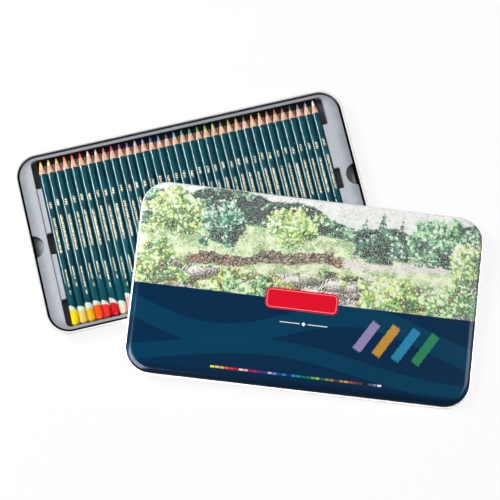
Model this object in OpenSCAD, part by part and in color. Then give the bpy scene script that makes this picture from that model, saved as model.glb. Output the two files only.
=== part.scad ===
// Flat tin of coloured pencils: a shallow metal tin, a formed plastic tray that holds
// one row of round pencils, and a separate lift-off lid that leans on the open tin.
// X runs along the row of pencils, the points face +Y, and +Z is up. The origin is the
// centre of the tin's underside. All sizes are in millimetres.

/* [Pencils] */
// Number of pencils in the row
pencil_count = 36; // [24:1:40]
// Diameter of a lacquered pencil
pencil_d = 7.8; // [6.5:0.1:9]
// Length of a pencil from its dipped end to its point
pencil_l = 174.6; // [150:0.2:190]
// Diameter of the coloured core
core_d = 3.8; // [2.6:0.1:5]
// Length of the sharpened cone
cone_l = 14.5; // [9:0.5:22]
// Radius of the blunt end of the point
point_r = 0.35; // [0.2:0.05:0.8]
// Rounding of the dipped end
butt_r = 3.4; // [1:0.1:3.6]
// Length of the dipped end that closes the bore of the core
butt_cap = 1.2; // [0.6:0.1:3]
// Glue film between the core and its bore, on the radius
core_glue = 0.01; // [0.01:0.01:0.05]

/* [Tray] */
// Thickness of the formed plastic sheet
sheet_t = 0.6; // [0.4:0.05:1]
// Gap between neighbouring pencils
pencil_gap = 0.4; // [0.2:0.05:1.5]
// Gap between a pencil and its groove
groove_gap = 0.2; // [0.1:0.05:0.5]
// Gap at each end of a pencil
end_gap = 0.4; // [0.2:0.1:2]
// How far the ridges between the pencils stay below the pencils' centres
ridge_drop = 2.1; // [1.6:0.1:3]
// Width of the flat ledge at each side of the row
ledge_w = 13.8; // [12:0.2:25]
// Width of the lower step between the ledge and the pencils
step_w = 5.8; // [4:0.1:10]
// Drop from the ledge to the step
step_drop = 1.6; // [1:0.1:3]
// Width of the rim at the ends of the pencils
end_strip_w = 2.9; // [2.5:0.1:10]
// How far the ledge stands above the pencils
ledge_rise = 0.9; // [0.3:0.1:3]
// Length of the deep trough under the points
trough_l = 6; // [4:0.5:12]
// How much deeper the trough and the side pockets are than the grooves
trough_drop = 2; // [1.2:0.1:4]
// Length of the side pockets at the ends of the row
end_pocket_l = 29.5; // [15:0.5:50]
// Length of the side pocket in the middle
mid_pocket_l = 22.5; // [12:0.5:40]
// Corner radius of the recess round the pencils
recess_r = 5; // [2:0.5:8]
// Corner radius of the side pockets, where they cut into the step
pocket_r = 2.4; // [0.8:0.1:3]
// Radius of the thumb notch in each ledge
thumb_r = 11.6; // [8:0.2:20]
// How far the thumb notch reaches into the ledge
thumb_bite = 9.6; // [6:0.2:10.4]
// How far the floor of the thumb notch stands above the floor of the side pockets
thumb_rise = 1.6; // [0.4:0.1:4]
// Height of the turned-down outer edge
edge_h = 3; // [1.5:0.1:4.5]
// Gap between the tray and the walls of the tin
tray_gap = 1.9; // [0.5:0.1:3]
// Gap between the tray and the floor of the tin
foot_gap = 0.3; // [0.1:0.1:1]

/* [Tin] */
// Thickness of the tinplate
plate_t = 0.4; // [0.25:0.05:0.8]
// Inner corner radius of the tin
tin_corner_r = 22; // [16:0.5:26]
// Bend radius along the lower edge
floor_r = 1.5; // [1:0.1:3]
// Diameter of the rolled rim
rim_d = 2.6; // [1.6:0.1:3.4]
// How far the rim stands above the tray's ledge
rim_rise = 2.3; // [1:0.1:5]

/* [Lid] */
// Height of the lid
lid_h = 13; // [10:0.5:18]
// Radius of the shoulder round the top of the lid
shoulder_r = 7; // [3:0.25:8]
// Diameter of the rolled hem of the lid
hem_d = 2; // [1:0.1:2.4]
// Gap all round between the lid and the rim that it closes over
lid_gap = 1; // [0.3:0.1:1.5]

/* [Lid lying off] */
// Centre of the lid along the tin, seen from above
lid_x = 86.8; // [70:0.2:100]
// Centre of the lid across the tin, seen from above
lid_y = -110.6; // [-125:0.2:-105]
// Turn of the lid, seen from above
lid_turn = -19.9; // [-24:0.1:-15]
// Gap between the lid and what it leans on
lean_gap = 0.3; // [0.2:0.05:0.6]

/* [Hidden] */
$fn = 64;
// Overshoot of a cut past the face that it opens
cut = 1;

// The row of pencils
pencil_r = pencil_d / 2;
core_r = core_d / 2;
// The rounding of the dipped end leaves a small flat in its middle
butt_round = min(butt_r, pencil_r - 0.2);
pitch = pencil_d + pencil_gap;
row_l = (pencil_count - 1) * pitch;
groove_r = pencil_r + groove_gap;

// The tray, from the row outwards
well_l = row_l + 2 * groove_r;
well_w = pencil_l + 2 * end_gap;
recess_l = well_l + 2 * step_w;
tray_l = recess_l + 2 * ledge_w;
tray_w = well_w + 2 * end_strip_w;
// How far a side pocket opens into the outermost groove
pocket_lap = 1.2;

// The tin round the tray
tin_l = tray_l + 2 * tray_gap;
tin_w = tray_w + 2 * tray_gap;
tray_corner_r = tin_corner_r - tray_gap;
rim_r = rim_d / 2;

// Heights, from the underside of the tin up
tray_z = plate_t + foot_gap;
trough_z = tray_z + sheet_t;
pencil_z = trough_z + trough_drop + groove_r;
ridge_z = pencil_z - ridge_drop;
ledge_z = pencil_z + pencil_r + ledge_rise;
step_z = ledge_z - step_drop;
thumb_z = trough_z + thumb_rise;
tin_h = ledge_z + rim_rise;

// The lid over the rim: its inner corner radius and its inner size
lid_corner_r = tin_corner_r + rim_d + lid_gap;
lid_l = tin_l + 2 * (rim_d + lid_gap);
lid_w = tin_w + 2 * (rim_d + lid_gap);
hem_r = hem_d / 2;

// The lid leans on the crests of the front rim and the right rim, and its lowest corner
// stands on the table. These are the crests' distances from the tin's centre, and the
// hem's centre line from the lid's centre.
rim_x = tin_l / 2 + rim_r;
rim_y = tin_w / 2 + rim_r;
hem_x = lid_l / 2 + hem_r;
hem_y = lid_w / 2 + hem_r;

// A point of the lid's plane before it leans, seen from above
function lid_plan(x, y) = [
    lid_x + x * cos(lid_turn) - y * sin(lid_turn),
    lid_y + x * sin(lid_turn) + y * cos(lid_turn)
];

// Where the left side of the hem crosses the front rim, and its back side the right rim
front_rest = lid_plan(-hem_x, (-rim_y - lid_y + hem_x * sin(lid_turn)) / cos(lid_turn));
side_rest = lid_plan((rim_x - lid_x + hem_y * sin(lid_turn)) / cos(lid_turn), hem_y);
lean_axis = (side_rest - front_rest) / norm(side_rest - front_rest);
// The lowest point of the hem is on the corner furthest from the line between the rests
low_corner = lid_plan(hem_x - lid_corner_r - hem_r, -(hem_y - lid_corner_r - hem_r));
low_reach = cross(low_corner - front_rest, lean_axis) + lid_corner_r + hem_r;
lean = asin(tin_h / low_reach);

// Colours of the cores, along the row from the left
core_colours = [
    "gold", "khaki", "goldenrod", "darkorange", "orangered", "red",
    "ivory", "mistyrose", "crimson", "mediumvioletred", "purple", "darkviolet",
    "thistle", "lavender", "blue", "deepskyblue", "indigo", "dodgerblue",
    "turquoise", "teal", "seagreen", "lightgreen", "yellowgreen", "darkseagreen",
    "olive", "peru", "saddlebrown", "chocolate", "darkgoldenrod", "sienna",
    "brown", "darkred", "black", "slategray", "gray", "white"
];

function pencil_name(i) = str("pencil_", i < 9 ? "0" : "", i + 1);

// A flat rectangle with round corners, centred on the origin
module round_rect(l, w, r) {
    square([l - 2 * r, w], center = true);
    square([l, w - 2 * r], center = true);
    for (x = [-1, 1], y = [-1, 1])
        translate([x * (l / 2 - r), y * (w / 2 - r)])
            circle(r);
}

// A plate with round corners from height z0 to z1
module round_slab(l, w, r, z0, z1) {
    translate([0, 0, z0])
        linear_extrude(z1 - z0)
            round_rect(l, w, r);
}

// A pan pressed from plate: the section, drawn from the centre of a corner outwards, runs
// round the four corners and along the four sides, and the plate fills the middle
module pan(l, w, r, z0, z1) {
    long = l - 2 * r;
    short = w - 2 * r;
    for (side = [0, 1])
        rotate(180 * side) {
            translate([long / 2, short / 2])
                rotate_extrude(angle = 90)
                    children();
            translate([-long / 2, short / 2])
                rotate(90)
                    rotate_extrude(angle = 90)
                        children();
            translate([long / 2, short / 2])
                rotate([90, 0, 0])
                    linear_extrude(short)
                        children();
            translate([-long / 2, short / 2])
                rotate([90, 0, 90])
                    linear_extrude(long)
                        children();
        }
    translate([-long / 2, -short / 2, z0])
        cube([long, short, z1 - z0]);
}

// A quarter of a bent sheet: the outer radius is r and the sheet is t thick
module bend(r, t, turn) {
    rotate(turn)
        intersection() {
            difference() {
                circle(r);
                circle(r - t);
            }
            square(r);
        }
}

// Section of the tin: floor, lower bend, wall and rolled rim
module tin_section() {
    outer = tin_corner_r + plate_t;
    square([outer - floor_r, plate_t]);
    translate([outer - floor_r, floor_r])
        bend(floor_r, plate_t, -90);
    translate([tin_corner_r, floor_r])
        square([plate_t, tin_h - rim_r - floor_r]);
    translate([tin_corner_r + rim_r, tin_h - rim_r])
        circle(rim_r);
}

// Section of the lid: top, shoulder, skirt and rolled hem
module lid_section() {
    outer = lid_corner_r + plate_t;
    translate([0, lid_h - plate_t])
        square([outer - shoulder_r, plate_t]);
    translate([outer - shoulder_r, lid_h - shoulder_r])
        bend(shoulder_r, plate_t, 0);
    translate([lid_corner_r, hem_r])
        square([plate_t, lid_h - shoulder_r - hem_r]);
    translate([lid_corner_r + hem_r, hem_r])
        circle(hem_r);
}

module base_tin() {
    color("gainsboro")
        pan(tin_l, tin_w, tin_corner_r, 0, plate_t)
            tin_section();
}

// The lid in its own frame: the hem stands on z = 0
module lid_shell() {
    pan(lid_l, lid_w, lid_corner_r, lid_h - plate_t, lid_h)
        lid_section();
}

module lid() {
    color("whitesmoke")
        translate([front_rest[0], front_rest[1], tin_h + lean_gap])
            rotate(a = lean, v = [lean_axis[0], lean_axis[1], 0])
                translate([lid_x - front_rest[0], lid_y - front_rest[1], 0])
                    rotate(lid_turn)
                        lid_shell();
}

// Side pockets of the recess, grown by g on every side. Their outer corners are round.
module pocket_plan(g) {
    inner = well_l / 2 - pocket_lap;
    wide = 2 * (recess_l / 2 - inner) + 2 * g;
    intersection() {
        round_rect(recess_l + 2 * g, well_w + 2 * g, recess_r + g);
        for (side = [-1, 1])
            translate([side * inner, 0])
                intersection() {
                    translate([side * wide / 4 - side * g / 2, 0])
                        square([wide / 2 + g, well_w + 2 * g], center = true);
                    union() {
                        round_rect(wide, mid_pocket_l + 2 * g, pocket_r + g);
                        for (end = [-1, 1])
                            translate([0, end * (well_w - end_pocket_l) / 2])
                                round_rect(wide, end_pocket_l + 2 * g, pocket_r + g);
                    }
                }
    }
}

// Everything that the tray leaves free, grown by g at the sides and at the bottom. With
// g = 0 it is the space itself, and with the sheet's thickness it is the space and its walls.
module tray_space(g, top) {
    // Step beside the pencils
    round_slab(recess_l + 2 * g, well_w + 2 * g, recess_r + g, step_z - g, top);
    // Well of the pencils, down to the ridges
    translate([-well_l / 2 - g, -well_w / 2 - g, ridge_z - g])
        cube([well_l + 2 * g, well_w + 2 * g, top - ridge_z + g]);
    // Grooves
    for (i = [0 : pencil_count - 1])
        translate([i * pitch - row_l / 2, -well_w / 2 - g, pencil_z])
            rotate([-90, 0, 0])
                cylinder(r = groove_r + g, h = well_w - trough_l + g);
    // Trough under the points
    translate([-well_l / 2 - g, well_w / 2 - trough_l - g, trough_z - g])
        cube([well_l + 2 * g, trough_l + 2 * g, top - trough_z + g]);
    // Side pockets
    translate([0, 0, trough_z - g])
        linear_extrude(top - trough_z + g)
            pocket_plan(g);
    // Thumb notches at the outer edge
    for (side = [-1, 1])
        translate([side * (tray_l / 2 + thumb_r - thumb_bite), 0, thumb_z - g])
            cylinder(r = thumb_r + g, h = top - thumb_z + g);
}

module insert_tray() {
    color("silver")
        difference() {
            intersection() {
                round_slab(tray_l, tray_w, tray_corner_r, tray_z, ledge_z);
                union() {
                    round_slab(tray_l, tray_w, tray_corner_r, ledge_z - sheet_t, ledge_z);
                    difference() {
                        round_slab(tray_l, tray_w, tray_corner_r, ledge_z - edge_h, ledge_z);
                        round_slab(tray_l - 2 * sheet_t, tray_w - 2 * sheet_t,
                            tray_corner_r - sheet_t, ledge_z - edge_h - cut, ledge_z);
                    }
                    tray_space(sheet_t, ledge_z);
                }
            }
            tray_space(0, ledge_z + cut);
        }
}

// Wooden casing, standing on its dipped end, with the blind bore of the core
module casing() {
    shank_l = pencil_l - cone_l;
    core_shoulder = pencil_l - cone_l * (core_r - point_r) / (pencil_r - point_r);
    rotate_extrude()
        difference() {
            union() {
                translate([0, butt_round])
                    square([pencil_r, shank_l - butt_round]);
                square([pencil_r - butt_round, shank_l]);
                intersection() {
                    translate([pencil_r - butt_round, butt_round])
                        circle(butt_round);
                    square(pencil_d);
                }
                polygon([
                    [0, shank_l], [pencil_r, shank_l],
                    [core_r, core_shoulder], [0, core_shoulder]
                ]);
            }
            translate([0, butt_cap])
                square([core_r, pencil_l]);
        }
}

// Coloured core, from the bottom of its bore to the point
module core() {
    r = core_r - core_glue;
    core_shoulder = pencil_l - cone_l * (r - point_r) / (pencil_r - point_r);
    rotate_extrude()
        polygon([
            [0, butt_cap + core_glue], [r, butt_cap + core_glue],
            [r, core_shoulder], [point_r, pencil_l], [0, pencil_l]
        ]);
}

// Pencil number i of the row, lying in its groove with its point towards +Y
module pencil(i) {
    translate([i * pitch - row_l / 2, -pencil_l / 2, pencil_z])
        rotate([-90, 0, 0]) {
            color("darkslategray")
                casing();
            color(core_colours[i % len(core_colours)])
                core();
        }
}

base_tin();
insert_tray();
lid();
for (i = [0 : pencil_count - 1])
    pencil(i);
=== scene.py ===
"""Looks for a flat tin of 36 round coloured pencils: materials, light, table and camera."""

import math

import bpy
import numpy as np
from mathutils import Matrix, Vector


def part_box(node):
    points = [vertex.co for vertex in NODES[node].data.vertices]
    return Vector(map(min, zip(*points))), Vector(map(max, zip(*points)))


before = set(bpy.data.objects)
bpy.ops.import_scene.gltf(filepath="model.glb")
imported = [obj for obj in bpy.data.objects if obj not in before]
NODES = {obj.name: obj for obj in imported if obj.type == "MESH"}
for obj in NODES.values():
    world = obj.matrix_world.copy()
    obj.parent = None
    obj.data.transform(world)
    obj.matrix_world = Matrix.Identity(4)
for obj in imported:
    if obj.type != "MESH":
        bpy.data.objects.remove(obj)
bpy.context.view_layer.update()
MM = 0.001


# ---- Colours, as they look on screen ------------------------------------------------------

TEAL_LACQUER = "#00525f"
TEAL_DEEP = "#003f4b"
MINT_BAND = "#c9d8ca"
FOIL = "#fff0c8"
WOOD_LIGHT = "#f3ccb4"
WOOD_DARK = "#cd8f72"

# Each pencil's core and dipped end, from the first pencil to the last.
PENCIL_COLOURS = (
    ("#f7e53a", "#ffe600"),
    ("#f6ee86", "#f5d271"),
    ("#f6c93c", "#fbc012"),
    ("#f28a22", "#ff5a10"),
    ("#ea4c28", "#ec2c2e"),
    ("#d8232c", "#d70c1c"),
    ("#f5ead8", "#fadfc6"),
    ("#f3c6c0", "#f6b0b4"),
    ("#c81a40", "#c2143c"),
    ("#c22a78", "#bb1f70"),
    ("#7e2a78", "#742370"),
    ("#5c3a94", "#50308a"),
    ("#cdbce0", "#c4b2dc"),
    ("#9c8ccc", "#9080c6"),
    ("#2c56ac", "#204ca4"),
    ("#2f8ecb", "#2384c6"),
    ("#27397e", "#1c2e76"),
    ("#2aa6d0", "#1c9ccb"),
    ("#22a7a6", "#149e9e"),
    ("#15826c", "#0a7862"),
    ("#208a48", "#14803c"),
    ("#6cb64a", "#60b03c"),
    ("#a9c84a", "#a0c23a"),
    ("#4e6c46", "#44623c"),
    ("#9a9434", "#918b28"),
    ("#b58a3a", "#ac802e"),
    ("#6e4a30", "#644026"),
    ("#d58a34", "#cf8028"),
    ("#d9a638", "#d49e2a"),
    ("#b8622c", "#b05822"),
    ("#9a4630", "#903c26"),
    ("#8a3a26", "#80301e"),
    ("#26262a", "#1c1c20"),
    ("#56687c", "#4c5e74"),
    ("#8c8f94", "#84878c"),
    ("#f2f2ee", "#f4f4f0"),
)
PENCILS = ["pencil_%02d" % (i + 1) for i in range(len(PENCIL_COLOURS))]


def linear(colour):
    """A screen colour such as #ff8800 as the four linear numbers that Blender takes."""
    parts = [int(colour[i:i + 2], 16) / 255 for i in (1, 3, 5)]
    return [p / 12.92 if p <= 0.04045 else ((p + 0.055) / 1.055) ** 2.4 for p in parts] + [1.0]


# ---- Material building --------------------------------------------------------------------

class Field:
    """A number or vector that varies over a surface. Arithmetic on it adds Math nodes."""

    def __init__(self, graph, socket):
        self.graph = graph
        self.socket = socket

    def __add__(self, other):
        return self.graph.math("ADD", self, other)

    def __radd__(self, other):
        return self.graph.math("ADD", other, self)

    def __sub__(self, other):
        return self.graph.math("SUBTRACT", self, other)

    def __rsub__(self, other):
        return self.graph.math("SUBTRACT", other, self)

    def __mul__(self, other):
        return self.graph.math("MULTIPLY", self, other)

    def __rmul__(self, other):
        return self.graph.math("MULTIPLY", other, self)

    def __truediv__(self, other):
        return self.graph.math("DIVIDE", self, other)


class Graph:
    """One material: a Principled shader and the fields that feed it."""

    def __init__(self, name):
        self.material = bpy.data.materials.new(name)
        self.material.use_nodes = True
        self.tree = self.material.node_tree
        self.tree.nodes.clear()
        self.output = self.tree.nodes.new("ShaderNodeOutputMaterial")
        self.shader = self.tree.nodes.new("ShaderNodeBsdfPrincipled")
        self.tree.links.new(self.shader.outputs["BSDF"], self.output.inputs["Surface"])
        coordinates = self.tree.nodes.new("ShaderNodeTexCoord")
        self.place = self.scaled(Field(self, coordinates.outputs["Object"]), (1000, 1000, 1000))
        self.facing = Field(self, coordinates.outputs["Normal"])

    def put(self, socket, value):
        """Links a field to the socket, or sets a constant on it."""
        if isinstance(value, Field):
            self.tree.links.new(value.socket, socket)
        elif isinstance(value, str):
            socket.default_value = linear(value)
        else:
            socket.default_value = value

    def node(self, kind, output, inputs, **settings):
        made = self.tree.nodes.new(kind)
        for name, value in settings.items():
            setattr(made, name, value)
        for socket, value in inputs.items():
            self.put(made.inputs[socket], value)
        return Field(self, made.outputs[output])

    def math(self, operation, *values):
        return self.node("ShaderNodeMath", 0, dict(enumerate(values)), operation=operation)

    def vector_math(self, operation, first, second, output=0):
        return self.node("ShaderNodeVectorMath", output, {0: first, 1: second}, operation=operation)

    def scaled(self, vector, factors):
        return self.vector_math("MULTIPLY", vector, factors)

    def dot(self, vector, direction):
        return self.vector_math("DOT_PRODUCT", vector, direction, "Value")

    def vector(self, x, y, z=0.0):
        return self.node("ShaderNodeCombineXYZ", 0, {0: x, 1: y, 2: z})

    def rise(self, value, low, high):
        """0 below low, 1 above high, smooth between them."""
        return self.node("ShaderNodeMapRange", 0, {"Value": value, "From Min": low, "From Max": high},
                         interpolation_type="SMOOTHSTEP")

    def fall(self, value, low, high):
        """1 below low, 0 above high, smooth between them."""
        return 1.0 - self.rise(value, low, high)

    def band(self, value, low, high, soft):
        """1 between low and high, 0 outside, over edges of width soft."""
        half = soft / 2
        return self.rise(value, low - half, low + half) - self.rise(value, high - half, high + half)

    def noise(self, vector, scale, detail=2.0, roughness=0.5, output="Fac"):
        return self.node("ShaderNodeTexNoise", output,
                         {"Vector": vector, "Scale": scale, "Detail": detail,
                          "Roughness": roughness})

    def cells(self, vector, scale, output, feature="F1", randomness=1.0):
        return self.node("ShaderNodeTexVoronoi", output,
                         {"Vector": vector, "Scale": scale, "Randomness": randomness},
                         feature=feature)

    def mix(self, factor, first, second, blend="MIX"):
        """The second colour over the first, by factor."""
        made = self.tree.nodes.new("ShaderNodeMix")
        made.data_type = "RGBA"
        made.blend_type = blend
        self.put(made.inputs[0], factor)
        self.put(made.inputs[6], first)
        self.put(made.inputs[7], second)
        return Field(self, made.outputs[2])

    def steps(self, value, colours):
        """Equal steps of colour as value goes from 0 to 1."""
        made = self.tree.nodes.new("ShaderNodeValToRGB")
        made.color_ramp.interpolation = "CONSTANT"
        stops = made.color_ramp.elements
        while len(stops) < len(colours):
            stops.new(0.5)
        for i in range(len(colours)):
            stops[i].position = i / len(colours)
        for i, colour in enumerate(colours):
            stops[i].color = linear(colour)
        self.put(made.inputs[0], value)
        return Field(self, made.outputs[0])

    def bump(self, height, strength, distance, normal=None):
        inputs = {"Height": height, "Strength": strength, "Distance": distance}
        if normal is not None:
            inputs["Normal"] = normal
        return self.node("ShaderNodeBump", 0, inputs)

    def beyond(self, x, y, half_x, half_y, corner):
        """How far a point lies outside a round-cornered outline. Negative is inside."""
        over_x = self.math("MAXIMUM", self.math("ABSOLUTE", x) - (half_x - corner), 0.0)
        over_y = self.math("MAXIMUM", self.math("ABSOLUTE", y) - (half_y - corner), 0.0)
        return self.math("SQRT", over_x * over_x + over_y * over_y) - corner

    def soft_edges(self, radius):
        """The surface's normal with its edges rounded to radius."""
        return self.node("ShaderNodeBevel", 0, {"Radius": radius}, samples=6)

    def finish(self, **inputs):
        """Sets the shader's sockets, by their names with _ for each space."""
        for name, value in inputs.items():
            self.put(self.shader.inputs[name.replace("_", " ")], value)
        return self.material


def wear(node, material):
    """Gives a CAD node its material."""
    slots = NODES[node].data.materials
    slots.clear()
    slots.append(material)


def half_plan(node, inset=0.0):
    """Half the length and width of a node centred on the origin, in millimetres."""
    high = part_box(node)[1]
    return high.x / MM - inset, high.y / MM - inset


# ---- Tinplate: the base tin, and the lid's skirt and inside --------------------------------

def tinplate_surface(graph):
    """Colour, roughness and relief of pale lacquered tinplate with faint rolling lines."""
    rolled = graph.noise(graph.scaled(graph.place, (0.06, 1.6, 1.6)), 1.0, 3.0)
    cloud = graph.noise(graph.place, 0.05, 2.0)
    colour = graph.mix(rolled * 0.4 + cloud * 0.3, "#f4f4f1", "#dadcdd")
    roughness = 0.24 + rolled * 0.12
    return colour, roughness, rolled


RIM_WIDTH = 2.6
TIN_HALF = half_plan("base_tin", RIM_WIDTH)
TIN_CORNER = 22.0
# Painted shade for the inside, and painted light for its back wall.
TIN_INSIDE_SHADE = "#111215"
TIN_BACK_LIGHT = "#b4b7be"
# The underside, pale like the outside, is all that lies below this height.
UNDERSIDE = 0.1
# The inside is painted shade, dark low down, paling to painted light towards the back wall: over these
# places, and over these heights.
BACK_LIGHT_PLACES = (70.0, 92.0)
BACK_LIGHT_HEIGHTS = (1.0, 8.0)


def tinplate_material():
    """The base tin: pale outside and on the rim, painted shade inside, paling to painted light up the back
    wall.
    """
    graph = Graph("tinplate")
    colour, roughness, rolled = tinplate_surface(graph)
    x = graph.dot(graph.place, (1, 0, 0))
    y = graph.dot(graph.place, (0, 1, 0))
    z = graph.dot(graph.place, (0, 0, 1))
    outside = graph.rise(graph.beyond(x, y, *TIN_HALF, TIN_CORNER), 0.1, 0.35)
    outside = graph.math("MAXIMUM", outside, graph.fall(z, UNDERSIDE, UNDERSIDE + 0.2))
    # Painted light up the back wall, over the painted shade of the inside.
    pale = graph.rise(y, *BACK_LIGHT_PLACES) * graph.rise(z, *BACK_LIGHT_HEIGHTS)
    inside = graph.mix(pale, TIN_INSIDE_SHADE, TIN_BACK_LIGHT)
    return graph.finish(Base_Color=graph.mix(outside, inside, colour), Metallic=outside * 0.35,
                        Roughness=roughness + (1.0 - outside) * 0.3, Specular_IOR_Level=0.3,
                        Normal=graph.bump(rolled, 0.05, 0.0002))


# ---- Tray: one vacuum-formed sheet ---------------------------------------------------------

TRAY_HALF = half_plan("insert_tray")
TRAY_CORNER = 20.1
WELL_HALF = 147.6
RECESS_HALF = 153.4
WELL_END = 87.7
GROOVES_FROM = -79.0
GROOVES_TO = 66.0
# Heights in the sheet: pocket floors, thumb notches' floors, side steps, ridges between the
# grooves, and the tops of the notches' walls, of the well's end walls and of the outer edge.
POCKET_FLOOR_TOP = 1.5
NOTCH_FLOOR = 3.2
STEP_FOOT = 3.8
RIDGE_FOOT = 6.0
NOTCH_TOP = 11.0
END_WALL_TOP = 10.6
EDGE_TOP = 11.6

TRAY_LIGHT = "#bac0c6"
TRAY_EDGE = "#90959c"
TRAY_GRAIN = "#7c7d85"
# Painted shade for the ridges, for the hollows, end walls and outer face, for the grooves, the pockets'
# floors and the thumb notches' walls.
RIDGE_SHADE = "#86827f"
TRAY_SHADE = "#1b1819"
GROOVE_SHADE = "#6c6b70"
POCKET_SHADE = "#575056"
NOTCH_SHADE = "#4c4c52"


def tray_material():
    """Light grey sheet with a mottled ledge, and painted shade: darker low in the well and the pockets,
    dark on the end walls, the thumb notches' walls and the edge's outer face.
    """
    graph = Graph("tray_plastic")
    x = graph.math("ABSOLUTE", graph.dot(graph.place, (1, 0, 0)))
    y = graph.dot(graph.place, (0, 1, 0))
    height = graph.dot(graph.place, (0, 0, 1))
    mottle = graph.noise(graph.place, 0.12, 3.0, 0.6)
    grain = graph.noise(graph.place, 1.1, 3.0, 0.7)
    margin = graph.beyond(x, y, *TRAY_HALF, TRAY_CORNER)
    row = graph.fall(x, RECESS_HALF + 0.8, RECESS_HALF + 1.2)
    well = graph.fall(x, WELL_HALF - 0.6, WELL_HALF - 0.1)

    ledge = graph.mix(graph.rise(margin + (mottle - 0.5) * 7.0, -11.0, 0.5), TRAY_LIGHT, TRAY_EDGE)
    ledge = graph.mix(graph.rise(grain, 0.40, 0.62) * 0.22, ledge, TRAY_GRAIN)
    # Painted shade on the outer face of the turned-down edge.
    edge = graph.rise(margin, -0.4, -0.1) * graph.fall(height, EDGE_TOP, EDGE_TOP + 0.5)
    colour = graph.mix(edge, ledge, TRAY_SHADE)
    # Painted shade on the ridges between the grooves, low in the well.
    colour = graph.mix(well * graph.fall(height, RIDGE_FOOT, RIDGE_FOOT + 1.0), colour, RIDGE_SHADE)

    # Painted shade below the steps: the pockets' floors, the grooves and the trough.
    pocket = graph.rise(x, WELL_HALF, WELL_HALF + 0.3)
    pocket = pocket * graph.fall(height, POCKET_FLOOR_TOP, POCKET_FLOOR_TOP + 0.4)
    deep_shade = graph.mix(pocket, TRAY_SHADE, POCKET_SHADE)
    deep_shade = graph.mix(well * graph.band(y, GROOVES_FROM, GROOVES_TO, 8.0), deep_shade, GROOVE_SHADE)
    colour = graph.mix(row * graph.fall(height, STEP_FOOT, STEP_FOOT + 1.4), colour, deep_shade)

    # Painted shade on the well's end walls.
    ends = well * graph.rise(graph.math("ABSOLUTE", y), WELL_END - 0.5, WELL_END - 0.1)
    colour = graph.mix(ends * graph.fall(height, END_WALL_TOP, END_WALL_TOP + 1.2), colour, TRAY_SHADE)
    # Painted shade on the thumb notches' walls.
    notch_shade = (1.0 - row) * graph.band(height, NOTCH_FLOOR, NOTCH_TOP, 0.5)
    colour = graph.mix(notch_shade, colour, NOTCH_SHADE)
    return graph.finish(Base_Color=colour, Roughness=0.46 + grain * 0.2, Specular_IOR_Level=0.3,
                        Normal=graph.bump(grain, 0.16, 0.0002, graph.soft_edges(0.0006)))


# ---- Pencils -------------------------------------------------------------------------------

CONE = 14.5
CORE_SHOWS = 6.3
LACQUER_LIP = "#a9b8a4"
DIP_SHADE = "#2a1410"
# The pale band and the dipped end start on slanted planes, which differ from pencil to pencil
# and repeat after the last row: how far from the point the band starts, how far the dip
# starts, and the slant.
DIPS = (
    (157.5, 160.4, 0.77),
    (157.7, 161.4, 0.30),
    (156.2, 161.6, 0.35),
    (156.3, 159.8, 0.40),
    (158.8, 161.6, 0.65),
    (158.7, 162.1, 0.75),
    (161.7, 164.8, 0.35),
)
# How far the foil is turned round the barrel from its top, in radians.
FOIL_ROLL = 0.24


def foil_marks(graph, number, along, around):
    """Stamped gold specks in four runs, broken into short groups. They spell nothing."""
    waist = graph.math("ABSOLUTE", around)
    third_end = 126.0 + 14.0 * (number * 0.618 % 1.0)
    marks = None
    for start, end, pitch, half in (
        (44.5, 51.5, 2.30, 1.25),
        (61.0, 99.0, 2.05, 1.15),
        (116.0, third_end, 1.70, 0.72),
        (third_end + 3.0, third_end + 7.5, 2.00, 0.72),
    ):
        cell = graph.vector(graph.math("FLOOR", along / (pitch / 3.0)),
                            graph.math("FLOOR", around / (half * 0.6) + 0.5), number * 3.7)
        chance = graph.node("ShaderNodeTexWhiteNoise", "Value", {"Vector": cell})
        gaps = graph.band(graph.math("FRACT", along / pitch), 0.16, 0.90, 0.12)
        run = graph.fall(chance, 0.72, 0.76) * gaps * graph.fall(waist, half - 0.1, half)
        run = run * graph.band(along, start, end, 0.2)
        marks = run if marks is None else graph.math("MAXIMUM", marks, run)
    return marks


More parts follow.
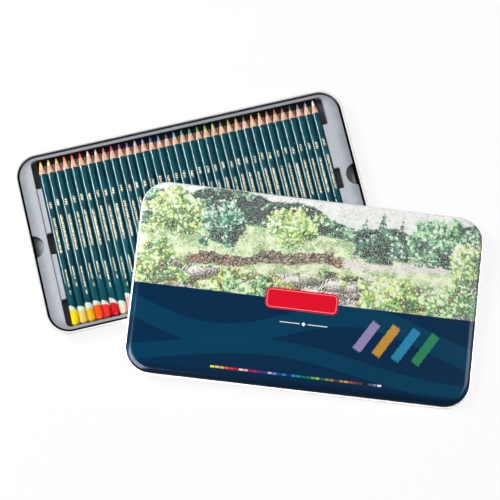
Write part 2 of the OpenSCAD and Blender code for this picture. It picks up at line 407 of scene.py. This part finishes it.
def pencil_material(number, core_colour, dip_colour):
    """Bare cone, lacquered barrel with foil marks, pale band and dipped end, by place."""
    name = PENCILS[number - 1]
    low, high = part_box(name)
    axis = Vector(((low.x + high.x) / 2, high.y, (low.z + high.z) / 2)) / MM
    radius = (high.x - low.x) / 2 / MM
    graph = Graph(name)
    across = graph.dot(graph.place, (1, 0, 0)) - axis.x
    along = axis.y - graph.dot(graph.place, (0, 1, 0))
    up = graph.dot(graph.place, (0, 0, 1)) - axis.z

    # Each pencil takes its grain from another part of the noise.
    local = graph.vector(across + number * 7.3, along, up)
    grain = graph.noise(graph.scaled(local, (2.2, 0.16, 2.2)), 1.0, 3.0, 0.6)
    wood = graph.mix(graph.rise(grain, 0.32, 0.66), WOOD_LIGHT, WOOD_DARK)
    wax = graph.noise(local, 1.5, 2.0)
    core = graph.mix(wax * 0.14, core_colour, "#ffffff")
    cone = graph.mix(graph.rise(along + wax * 0.5, CORE_SHOWS + 0.1, CORE_SHOWS + 0.4), core, wood)

    # No two pencils are stamped quite alike: each roll and start differs a little.
    roll = FOIL_ROLL + 0.09 * math.sin(number * 1.9)
    around = (graph.math("ARCTAN2", across, up) - roll) * radius
    marks = foil_marks(graph, number, along - 0.9 * math.sin(number * 2.4), around)
    tone = graph.noise(graph.scaled(local, (0.5, 0.06, 0.5)), 1.0, 2.0)
    barrel = graph.mix(graph.rise(tone, 0.38, 0.62), TEAL_LACQUER, TEAL_DEEP)
    barrel = graph.mix(marks, barrel, FOIL)
    edge = along + (grain - 0.5) * 0.5
    barrel = graph.mix(graph.fall(edge, CONE + 0.15, CONE + 0.4), barrel, LACQUER_LIP)
    lacquered = graph.rise(edge, CONE - 0.1, CONE + 0.1)
    colour = graph.mix(lacquered, cone, barrel)

    band_from, dip_from, slant = DIPS[(number - 1) % len(DIPS)]
    dipped = graph.mix(0.05 + wax * 0.16, dip_colour, DIP_SHADE)
    for start, lean, paint in (
        (band_from, slant, MINT_BAND),
        (dip_from, slant * 0.65 - 0.15, dipped),
    ):
        reach = along - across * lean + up * (0.1 + 0.75 * lean) - start
        colour = graph.mix(graph.rise(reach + (wax - 0.5) * 0.3, -0.12, 0.12), colour, paint)

    bare = 1.0 - lacquered
    roughness = 0.05 + bare * 0.5 + marks * 0.3 + tone * 0.03
    relief = graph.bump(lacquered + grain * bare * 0.3, 0.4, 0.0001)
    return graph.finish(Base_Color=colour, Metallic=marks * 0.2, Roughness=roughness,
                        Specular_IOR_Level=0.12, Normal=relief)


# ---- Lid: printed top and shoulder, bare skirt and inside -----------------------------------

def lid_frame():
    """The leaning lid's own frame, in millimetres, from its mesh: centre of the top, and the
    directions along its length, its width and out of its top. Then half its length and width."""
    mesh = NODES["lid"].data
    points = np.array([v.co for v in mesh.vertices]) / MM
    areas = np.array([p.area for p in mesh.polygons])
    normals = np.array([p.normal for p in mesh.polygons])
    upright = normals[np.argmax(areas * (normals[:, 2] > 0.9))]
    heights = points @ upright
    top = points[heights > heights.max() - 0.01]
    flat = top - np.outer(top @ upright, upright)
    spread = np.linalg.eigh(np.cov((flat - flat.mean(0)).T))[1]
    length = spread[:, 2] * np.sign(spread[0, 2])
    width = np.cross(upright, length)
    middle = sum((d * ((top @ d).min() + (top @ d).max()) / 2 for d in (length, width, upright)),
                 np.zeros(3))
    half_length = np.ptp(points @ length) / 2
    half_width = np.ptp(points @ width) / 2
    return middle, length, width, upright, half_length, half_width


# The print ends just below the shoulder's round. The hem's corners have the second radius.
SHOULDER = 7.0
HEM_CORNER = 27.6
LID_METAL = "#b2b0b3"
PAPER = "#f0f1ea"

# The picture lies above this line. Its trees and bushes are rounded patches: middle, half
# width, half height, and the greens in the light, between and in the shade. A conifer has
# its foot's middle, half width and height.
PICTURE_FOOT = -8.0
CONIFERS = (
    (52, 42, 12, 46),
    (70, 38, 15, 56),
    (89, 43, 12, 44),
)
TREES = (
    (-140, 66, 31, 27, "#dbe8a8", "#86b068", "#3c4c42"),
    (-92, 62, 22, 27, "#93cdb0", "#34806a", "#153036"),
    (-22, 65, 30, 22, "#e0eaa4", "#8fbe66", "#46583e"),
    (128, 66, 33, 24, "#a9d6a6", "#4a8e70", "#1c4248"),
    (160, 46, 20, 24, "#d8e6a4", "#84b26c", "#3d5848"),
)
NEAR_BUSHES = (
    (-156, 14, 26, 20, "#dbe8a2", "#83b268", "#356046"),
    (-58, 0, 30, 13, "#cbe6a6", "#66aa70", "#245a4c"),
    (84, 6, 34, 18, "#e2eca0", "#90c064", "#346a44"),
    (146, 8, 30, 22, "#d6eaac", "#70ae72", "#285e4e"),
)
LEAVES_PER_MM = 0.31
# How far the patches' outlines wander, in all, along and across the lid.
SWAY = (62.0, 46.0)

# The panel under it: two broad waves, by level, height, length, phase and half thickness.
NAVY = "#002a4a"
# Painted shade for the panel towards the lower shoulder.
NAVY_SHADE = "#001c37"
WAVE = "#00405d"
WAVES = (
    (-34.0, 17.0, 46.0, 0.4, 11.0),
    (-70.0, 12.0, 61.0, 2.1, 8.0),
)
STRIPE_PITCH = 1.7
PANEL_FADE = -84.0

# Scribbled colour patches: middle, length and ink.
PATCHES = (
    ((64, -36), 34, "#b7a6dc"),
    ((84, -38), 36, "#f2b233"),
    ((104, -40), 38, "#39a3cf"),
    ((124, -42), 36, "#3f9f5f"),
)
PATCH_TURN = 1.02
PATCH_WIDTH = 9

LABEL_RED = "#e30f2a"
LABEL_MIDDLE = (-4.0, -8.0)
LABEL_HALF = (36.5, 10.5)
LABEL_CORNER = 5.5

RULE_LEVEL = -31.0
RULE_FROM = 4.0
RULE_TO = 24.0
LOZENGE = 1.9

CHIPS_FROM = -88.0
CHIPS_LENGTH = 172.0
CHIPS_LOW = -84.2
CHIPS_HIGH = -82.2


class Sketch:
    """The printed picture: a generic hatched meadow, in the lid's own millimetres."""

    def __init__(self, graph, u, v):
        self.graph = graph
        self.u = u
        self.v = v
        self.sheet = graph.vector(u, v)
        self.falling = self.strokes(0.80, -0.60, 0.95, 0.22)
        self.rising = self.strokes(0.42, 0.91, 0.90, 0.20)
        self.clump = graph.noise(self.sheet, 0.085, 4.0, 0.6)
        self.drift = graph.noise(self.sheet, 0.032, 2.0, 0.5)
        sway = graph.noise(self.sheet, 0.045, 3.0, 0.6, output="Color")
        self.sway_u = (graph.dot(sway, (1, 0, 0)) - 0.5) * SWAY[0]
        self.sway_v = (graph.dot(sway, (0, 1, 0)) - 0.5) * SWAY[1]
        ragged = graph.scaled(graph.noise(self.sheet, 0.75, 2.0, 0.6, output="Color"), (4.6, 4.6, 0))
        ragged = graph.vector_math("ADD", self.sheet, ragged)
        self.leaves = graph.cells(ragged, LEAVES_PER_MM, "Distance")
        self.tint = graph.dot(graph.cells(ragged, LEAVES_PER_MM, "Color"), (1, 0, 0))

    def strokes(self, cos, sin, fine, long):
        """Hatching along the direction (cos, sin)."""
        run = self.u * cos + self.v * sin
        side = self.v * cos - self.u * sin
        lines = self.graph.vector(run * long, side * fine)
        return self.graph.rise(self.graph.noise(lines, 1.0, 2.0, 0.6), 0.41, 0.59)

    def foliage(self, light, middle, dark, shade):
        """Leaves over hatched gaps. shade goes from 0, in the light, to 1."""
        graph = self.graph
        depth = shade + (self.clump - 0.5) * 2.4 + (self.drift - 0.5) * 1.2 - 0.12
        depth = graph.math("MINIMUM", depth, 1.2)
        gaps = graph.mix(graph.rise(depth + self.rising * 0.5, 0.60, 1.05), middle, dark)
        leaf = graph.mix(graph.rise(self.tint + depth * 0.6, 0.75, 1.05), light, middle)
        leaf = graph.mix(graph.rise(self.tint - depth * 0.4, 0.40, 0.60) * 0.75, leaf, PAPER)
        shows = graph.fall(self.leaves + depth * 0.30 + self.falling * 0.16, 0.62, 0.78)
        colour = graph.mix(shows, gaps, leaf)
        return graph.mix(graph.rise(depth + self.falling * 0.5, 1.15, 1.55), colour, dark)

    def bushes(self, size, squash, seed):
        """Round bushes: distance from each one's middle, its shade, and a random number each."""
        graph = self.graph
        spot = graph.vector(self.u / size + seed, self.v / (size * squash) + seed)
        wobble = graph.scaled(graph.noise(self.sheet, 0.16, 3.0, output="Color"), (0.35, 0.35, 0))
        spot = graph.vector_math("ADD", spot, wobble)
        distance = graph.cells(spot, 1.0, "Distance", randomness=0.75)
        centre = graph.cells(spot, 1.0, "Position", randomness=0.75)
        shade = 0.5 + graph.dot(graph.vector_math("SUBTRACT", spot, centre), (0.45, -0.95, 0))
        chance = graph.dot(graph.cells(spot, 1.0, "Color", randomness=0.75), (1, 0, 0))
        return distance, shade, chance

    def edge(self, level, *waves):
        """The height, at each u, of a leafy line with waves of (height, length, phase)."""
        height = level
        for size, length, phase in waves:
            height = height + self.graph.math("SINE", self.u / length + phase) * size
        return height + (self.clump - 0.5) * 9.0

    def below(self, line):
        """1 under a line, 0 over it."""
        return self.graph.fall(self.v - line, -1.2, 1.2)

    def blob(self, u, v, wide, high):
        """A rounded patch: 1 inside, 0 outside, with a leafy rim, and its shade."""
        graph = self.graph
        across = (self.u + self.sway_u - u) / wide
        upward = (self.v + self.sway_v - v) / high
        reach = graph.math("SQRT", across * across + upward * upward)
        reach = reach + (self.clump - 0.5) * 0.5 + (self.leaves - 0.5) * 0.3
        return graph.fall(reach, 0.93, 1.0), 0.5 + across * 0.3 - upward * 0.4

    def spire(self, u, v, wide, high):
        """A pointed conifer standing on (u, v): 1 inside, 0 outside, and its shade."""
        graph = self.graph
        across = (self.u - u) / wide
        upward = (self.v - v) / high
        reach = graph.math("ABSOLUTE", across) + upward + (self.leaves - 0.4) * 0.4
        inside = graph.fall(reach, 0.94, 1.02) * graph.rise(upward, -0.03, 0.03)
        return inside, 0.8 + across * 0.35 - upward * 0.3

    def far_wood(self, colour):
        """Round treetops behind the meadow, darker left of the middle."""
        graph = self.graph
        distance, shade, _ = self.bushes(17.0, 0.85, 3.7)
        shade = shade + distance * 0.4 + graph.band(self.u, -120.0, 10.0, 60.0) * 0.6 - 0.1
        wood = self.foliage("#a9cfa4", "#569080", "#1d4044", shade)
        edge = self.edge(84.0, (13.0, 52.0, 3.2), (4.0, 13.0, 2.0))
        return graph.mix(self.below(edge), colour, wood)

    def meadow(self, colour):
        """Slopes with bare paper between the strokes."""
        graph = self.graph
        slope = graph.mix(graph.rise(self.clump + self.falling * 0.25, 0.45, 0.75), "#e4ecc4", "#9fc476")
        slope = graph.mix(self.rising * 0.55, slope, PAPER)
        slope = graph.mix(self.falling * graph.rise(self.clump, 0.48, 0.6) * 0.5, slope, "#5f8f5e")
        return graph.mix(self.below(self.edge(56.0, (6.0, 46.0, 2.4), (2.0, 17.0, 0.0))), colour, slope)

    def track(self, colour):
        """A sandy track across the right half."""
        graph = self.graph
        way = graph.band(self.v - self.edge(43.0, (9.0, 60.0, 3.9)), -4.5, 4.5, 2.0)
        sand = graph.mix(self.falling * 0.6, "#ece7df", "#c2bcb6")
        return graph.mix(way * graph.rise(self.u, -10.0, 10.0), colour, sand)

    def conifers(self, colour):
        """Pointed trees on the meadow, right of the middle."""
        for place in CONIFERS:
            inside, shade = self.spire(*place)
            needles = self.foliage("#6fa58c", "#2f6f5e", "#12302f", shade)
            colour = self.graph.mix(inside, colour, needles)
        return colour

    def rounded(self, colour, plants):
        """Rounded trees or bushes, each over the ones before it."""
        for u, v, wide, high, light, middle, dark in plants:
            inside, shade = self.blob(u, v, wide, high)
            colour = self.graph.mix(inside, colour, self.foliage(light, middle, dark, shade))
        return colour

    def trees(self, colour):
        return self.rounded(colour, TREES)

    def wall(self, colour):
        """A dry-stone wall across the left of the field, with a ragged crest."""
        graph = self.graph
        line = self.edge(30.0, (7.0, 44.0, 1.1), (1.5, 9.0, 0.4))
        spot = graph.vector(self.u / 5.2, self.v / 3.4)
        stones = graph.cells(spot, 1.0, "Color")
        joints = graph.cells(spot, 1.0, "Distance", feature="DISTANCE_TO_EDGE")
        chance = graph.dot(stones, (1, 0, 0))
        rusty = self.falling * graph.rise(graph.dot(stones, (0, 0, 1)), 0.6, 0.7) * 0.7
        stone = graph.mix(chance, "#cbb69c", "#7b6a5b")
        stone = graph.mix(graph.dot(stones, (0, 0.7, 0)), stone, "#d2cdc2")
        stone = graph.mix(self.rising * 0.5, stone, "#4b3c34")
        stone = graph.mix(rusty, stone, "#b5683a")
        stone = graph.mix(graph.fall(joints, 0.03, 0.14), stone, "#2c2624")
        crest = line + 4.0 + (chance - 0.5) * 5.0
        inside = graph.rise(self.v, line - 7.5, line - 5.5) * graph.fall(self.v, crest, crest + 1.0)
        inside = inside * graph.band(self.u + self.sway_u, -128.0, 30.0, 12.0)
        return graph.mix(inside, colour, stone)

    def boulders(self, colour):
        """Boulders, tufts and bare earth in front."""
        graph = self.graph
        distance, shade, chance = self.bushes(20.0, 0.62, 9.1)
        rim = graph.rise(distance, 0.44, 0.58)
        boulder = graph.mix(graph.rise(shade + self.falling * 0.45, 0.45, 1.05), "#f0eee6", "#97908a")
        boulder = graph.mix(self.rising * graph.rise(shade, 0.6, 1.0) * 0.7, boulder, "#5d5049")
        boulder = graph.mix(rim * self.rising, boulder, "#413a36")
        tuft = self.foliage("#dcea9c", "#86b45c", "#1f4a34", shade + 0.1)
        earth = graph.rise(self.drift + (self.clump - 0.5) * 0.6, 0.50, 0.58) * self.rising
        tuft = graph.mix(earth * 0.6, tuft, "#a8794e")
        ground = graph.mix(graph.rise(chance, 0.46, 0.50), tuft, boulder)
        return graph.mix(self.below(self.edge(20.0, (5.0, 38.0, 0.3), (2.0, 13.0, 1.0))), colour, ground)

    def near_bushes(self, colour):
        return self.rounded(colour, NEAR_BUSHES)

    def flowers(self, colour):
        """Patches of warm dots low in the picture."""
        graph = self.graph
        dots = graph.cells(self.sheet, 0.42, "Distance")
        hue = graph.dot(graph.cells(self.sheet, 0.42, "Color"), (0, 1, 0))
        bloom = graph.mix(graph.rise(hue, 0.4, 0.6), "#cf5c9c", "#dc8a48")
        patch = graph.rise(self.clump, 0.53, 0.60) * self.below(self.edge(16.0, (4.0, 29.0, 1.7)))
        return graph.mix(graph.fall(dots, 0.26, 0.38) * patch * 0.9, colour, bloom)

    def ink_and_tooth(self, colour):
        """Dark strokes and the paper's tooth over everything, with the contrast raised."""
        graph = self.graph
        ink = self.strokes(0.97, 0.22, 1.25, 0.35)
        colour = graph.mix(ink * self.rising * graph.rise(self.clump, 0.38, 0.56) * 0.5, colour, "#16282a")
        tooth = graph.noise(self.sheet, 1.0, 2.0, 0.7)
        colour = graph.mix(graph.rise(tooth, 0.48, 0.61) * 0.60, colour, PAPER)
        return graph.mix(0.75, colour, colour, "OVERLAY")

    def paint(self):
        """The whole picture, from the pale sky forward."""
        colour = self.graph.mix(self.falling * 0.4, PAPER, "#c9d2d4")
        for layer in (self.far_wood, self.meadow, self.track, self.conifers, self.trees, self.wall,
                      self.boulders, self.near_bushes, self.flowers, self.ink_and_tooth):
            colour = layer(colour)
        return colour


def lower_panel(graph, u, v):
    """Plain navy with broad striped waves, and painted shade that darkens it towards the lower shoulder.
    """
    # Painted shade, darker towards the lower shoulder.
    colour = graph.mix(graph.rise(v, PANEL_FADE - 10.0, PANEL_FADE), NAVY_SHADE, NAVY)
    stripes = graph.rise(graph.math("SINE", u * (2 * math.pi / STRIPE_PITCH)), -0.4, 0.6)
    for level, size, length, phase, thick in WAVES:
        line = level + graph.math("SINE", u / length + phase) * size
        wave = graph.band(v - line, -thick, thick, 0.5) * graph.rise(v, PANEL_FADE - 6.0, PANEL_FADE)
        colour = graph.mix(wave * (0.55 + stripes * 0.45), colour, WAVE)
    return colour


def scribble(graph, u, v, middle, length):
    """A slanted scribbled patch: how much of it covers each point."""
    cos, sin = math.cos(PATCH_TURN), math.sin(PATCH_TURN)
    run = (u - middle[0]) * cos + (v - middle[1]) * sin
    side = (v - middle[1]) * cos - (u - middle[0]) * sin
    zigzag = graph.math("PINGPONG", run + side * 0.35, 0.8)
    ends = graph.noise(graph.vector(side * 0.9, middle[0]), 1.0, 2.0)
    sides = graph.noise(graph.vector(run * 0.45, middle[1]), 1.0, 2.0)
    within = (graph.band(run + (ends - 0.5) * 9.0, -length / 2, length / 2, 0.8)
              * graph.band(side + (sides - 0.5) * 3.5, -PATCH_WIDTH / 2, PATCH_WIDTH / 2, 0.8))
    tooth = graph.rise(graph.noise(graph.vector(u, v), 0.9, 2.0, 0.7), 0.54, 0.7)
    return within * (0.45 + graph.rise(zigzag, 0.2, 0.5) * 0.45) * (1.0 - tooth * 0.5)


def add_label(graph, u, v, colour):
    """A plain label with a thin inner line."""
    reach = graph.beyond(u - LABEL_MIDDLE[0], v - LABEL_MIDDLE[1], *LABEL_HALF, LABEL_CORNER)
    colour = graph.mix(graph.fall(reach, -0.2, 0.2), colour, LABEL_RED)
    return graph.mix(graph.band(reach, -1.9, -1.5, 0.3) * 0.5, colour, "#ffffff")


def add_rule(graph, u, v, colour):
    """An ornamental rule with a lozenge in its gap."""
    across = graph.math("ABSOLUTE", u)
    rule = graph.band(across, RULE_FROM, RULE_TO, 0.4)
    rule = rule * graph.band(v, RULE_LEVEL - 0.4, RULE_LEVEL + 0.4, 0.3)
    lozenge = graph.fall(across + graph.math("ABSOLUTE", v - RULE_LEVEL), LOZENGE, LOZENGE + 0.5)
    return graph.mix(graph.math("MAXIMUM", rule, lozenge) * 0.9, colour, "#ffffff")


def add_chips(graph, u, v, colour):
    """A row of small chips in the pencils' colours, from two ramps, since one holds only 32."""
    inks = [dip for _, dip in PENCIL_COLOURS]
    half = len(inks) // 2
    place = (u - CHIPS_FROM) / CHIPS_LENGTH
    early = graph.steps(place * 2.0, inks[:half])
    late = graph.steps(place * 2.0 - 1.0, inks[half:])
    chips = graph.mix(graph.rise(place, 0.4999, 0.5001), early, late)
    beat = graph.math("FRACT", (u - CHIPS_FROM) / (CHIPS_LENGTH / len(inks)))
    row = graph.band(place, 0.0, 1.0, 0.001) * graph.band(beat, 0.08, 0.92, 0.04)
    return graph.mix(row * graph.band(v, CHIPS_LOW, CHIPS_HIGH, 0.3), colour, chips)


def lid_material():
    """Print over the top and the shoulder. The skirt, the hem and the inside are bare."""
    middle, length, width, upright, half_length, half_width = lid_frame()
    graph = Graph("printed_tinplate")
    u = graph.dot(graph.place, length) - float(middle @ length)
    v = graph.dot(graph.place, width) - float(middle @ width)
    w = graph.dot(graph.place, upright) - float(middle @ upright)

    picture = Sketch(graph, u, v).paint()
    above = graph.rise(v, PICTURE_FOOT - 0.3, PICTURE_FOOT + 0.3)
    colour = graph.mix(above, lower_panel(graph, u, v), picture)
    for at, size, ink in PATCHES:
        colour = graph.mix(scribble(graph, u, v, at, size) * 0.9, colour, ink)
    colour = add_label(graph, u, v, colour)
    colour = add_rule(graph, u, v, colour)
    colour = add_chips(graph, u, v, colour)

    # Printed faces look outwards or up, and end a little below the shoulder.
    beyond_u = graph.math("MAXIMUM", graph.math("ABSOLUTE", u) - (half_length - HEM_CORNER), 0.0)
    beyond_v = graph.math("MAXIMUM", graph.math("ABSOLUTE", v) - (half_width - HEM_CORNER), 0.0)
    outward = (graph.dot(graph.facing, length) * beyond_u * graph.math("SIGN", u)
               + graph.dot(graph.facing, width) * beyond_v * graph.math("SIGN", v)
               + graph.dot(graph.facing, upright))
    printed = graph.rise(outward, -0.01, 0.01) * graph.rise(w, -SHOULDER - 0.7, -SHOULDER - 0.3)
    metal, roughness, rolled = tinplate_surface(graph)
    metal = graph.mix(0.4, metal, LID_METAL)
    return graph.finish(Base_Color=graph.mix(printed, metal, colour), Metallic=0.35 - printed * 0.35,
                        Roughness=roughness - printed * 0.11, Specular_IOR_Level=0.05,
                        Normal=graph.bump(rolled, 0.03, 0.0002))


# ---- Dressing the CAD nodes ----------------------------------------------------------------

wear("base_tin", tinplate_material())
wear("insert_tray", tray_material())
wear("lid", lid_material())
for number, (core_colour, dip_colour) in enumerate(PENCIL_COLOURS, 1):
    wear(PENCILS[number - 1], pencil_material(number, core_colour, dip_colour))


# ---- Table, world and lamps ----------------------------------------------------------------

# Metres from the middle to the floor's sides, and from the tin's underside down to it.
FLOOR_REACH = 4.0
FLOOR_DROP = 0.0004
FLOOR_GREY = 0.88
FLOOR_GLOW = 0.88
SKY_LIGHT = 0.36
WHITE = (1, 1, 1, 1)


def plain_ray(tree):
    """1 for camera, glossy and transmission rays, which see the plain white background."""
    rays = tree.nodes.new("ShaderNodeLightPath")
    total = rays.outputs["Is Camera Ray"]
    for name in ("Is Glossy Ray", "Is Transmission Ray"):
        both = tree.nodes.new("ShaderNodeMath")
        both.operation = "MAXIMUM"
        tree.links.new(total, both.inputs[0])
        tree.links.new(rays.outputs[name], both.inputs[1])
        total = both.outputs[0]
    return total


def table_material():
    """Pale and matte, mostly glowing to plain rays, so that only a faint shadow shows."""
    material = bpy.data.materials.new("table")
    material.use_nodes = True
    tree = material.node_tree
    tree.nodes.clear()
    output = tree.nodes.new("ShaderNodeOutputMaterial")
    matte = tree.nodes.new("ShaderNodeBsdfDiffuse")
    matte.inputs["Color"].default_value = (FLOOR_GREY, FLOOR_GREY, FLOOR_GREY, 1)
    glow = tree.nodes.new("ShaderNodeEmission")
    blend = tree.nodes.new("ShaderNodeMixShader")
    share = tree.nodes.new("ShaderNodeMath")
    share.operation = "MULTIPLY"
    share.inputs[1].default_value = FLOOR_GLOW
    tree.links.new(plain_ray(tree), share.inputs[0])
    tree.links.new(share.outputs[0], blend.inputs[0])
    tree.links.new(matte.outputs[0], blend.inputs[1])
    tree.links.new(glow.outputs[0], blend.inputs[2])
    tree.links.new(blend.outputs[0], output.inputs["Surface"])
    return material


def add_table():
    """A square floor just below the tin."""
    mesh = bpy.data.meshes.new("table")
    signs = ((-1, -1), (1, -1), (1, 1), (-1, 1))
    corners = [(x * FLOOR_REACH, y * FLOOR_REACH, -FLOOR_DROP) for x, y in signs]
    mesh.from_pydata(corners, [], [(0, 1, 2, 3)])
    mesh.materials.append(table_material())
    table = bpy.data.objects.new("table", mesh)
    bpy.context.scene.collection.objects.link(table)


def set_world():
    """Soft light from all sides, and plain white where it is seen."""
    world = bpy.data.worlds.new("studio")
    world.use_nodes = True
    bpy.context.scene.world = world
    tree = world.node_tree
    tree.nodes.clear()
    output = tree.nodes.new("ShaderNodeOutputWorld")
    blend = tree.nodes.new("ShaderNodeMixShader")
    tree.links.new(plain_ray(tree), blend.inputs[0])
    for slot, strength in ((1, SKY_LIGHT), (2, 1.0)):
        sky = tree.nodes.new("ShaderNodeBackground")
        sky.inputs["Color"].default_value = WHITE
        sky.inputs["Strength"].default_value = strength
        tree.links.new(sky.outputs[0], blend.inputs[slot])
    tree.links.new(blend.outputs[0], output.inputs["Surface"])


# Gloss on the lacquer, on the dipped ends and twice on the lid's shoulder: place, aim, width,
# length, the way the length points, power, and the nodes that each lamp lights.
GLOSS_LAMPS = {
    "streak": ((-1.572, 0.542, 0.908), (-0.1, 0.19, 0.058), 0.5, 0.46, (0, 1, 0), 86.0, PENCILS),
    "glint": ((-0.25, -0.8, 1.6), (-0.1, -0.05, 0.0), 0.5, 0.5, (0, 1, 0), 500.0, PENCILS),
    "corner_glow": ((-0.86, -0.44, 0.52), (-0.1, -0.14, 0.0), 1.15, 1.2, (0.44, -0.9, 0), 280.0, ["lid"]),
    "side_glow": ((1.45, -0.1, 1.1), (0.25, -0.15, 0.0), 1.6, 1.4, (0, 1, 0), 190.0, ["lid"]),
}


def add_softbox(name, place, aim, wide, long, along, power):
    """A rectangular lamp at place, facing aim, with its long side towards along."""
    lamp = bpy.data.lights.new(name, "AREA")
    lamp.shape = "RECTANGLE"
    lamp.size = wide
    lamp.size_y = long
    lamp.energy = power
    softbox = bpy.data.objects.new(name, lamp)
    back = (Vector(place) - Vector(aim)).normalized()
    side = Vector(along).cross(back).normalized()
    softbox.matrix_world = Matrix.Translation(place) @ Matrix(
        (side, back.cross(side), back)).transposed().to_4x4()
    softbox.visible_camera = False
    bpy.context.scene.collection.objects.link(softbox)
    return softbox


def light_only(lamp, names):
    """Keeps a lamp's light to these nodes."""
    reach = bpy.data.collections.new(lamp.name + "_reach")
    for name in names:
        reach.objects.link(NODES[name])
    lamp.light_linking.receiver_collection = reach


def add_lamps():
    """One key lamp that isn't seen in gloss, and lamps that show only in gloss."""
    key = add_softbox("key", (-1.3, 0.95, 1.75), (0.05, -0.05, 0.0), 0.9, 0.9, (0, 1, 0), 57.0)
    key.visible_glossy = False
    for name, (*setting, nodes) in GLOSS_LAMPS.items():
        lamp = add_softbox(name, *setting)
        lamp.visible_diffuse = False
        light_only(lamp, nodes)


# ---- Camera --------------------------------------------------------------------------------

# The photo's side in pixels and the focal length in them, and where the camera stands and looks.
IMAGE = 500
FOCUS_PIXELS = 1681.5
SENSOR = 36.0
AIM = Vector((43.20, -52.68, 12.2)) * MM
DISTANCE = 1.70
AZIMUTH = math.radians(-22.65)
ELEVATION = math.radians(77.96)
ROLL = math.radians(9.18)


def add_camera():
    data = bpy.data.cameras.new("camera")
    data.sensor_fit = "HORIZONTAL"
    data.sensor_width = SENSOR
    data.lens = SENSOR * FOCUS_PIXELS / IMAGE
    data.clip_end = 50.0
    back = Vector((math.sin(AZIMUTH) * math.cos(ELEVATION), -math.cos(AZIMUTH) * math.cos(ELEVATION),
                   math.sin(ELEVATION)))
    level = Vector((math.cos(AZIMUTH), math.sin(AZIMUTH), 0))
    upward = back.cross(level)
    right = math.cos(ROLL) * level + math.sin(ROLL) * upward
    camera = bpy.data.objects.new("camera", data)
    camera.matrix_world = Matrix.Translation(AIM + DISTANCE * back) @ Matrix(
        (right, back.cross(right), back)).transposed().to_4x4()
    bpy.context.scene.collection.objects.link(camera)
    bpy.context.scene.camera = camera


add_table()
set_world()
add_lamps()
add_camera()
bpy.context.scene.view_settings.view_transform = "Standard"
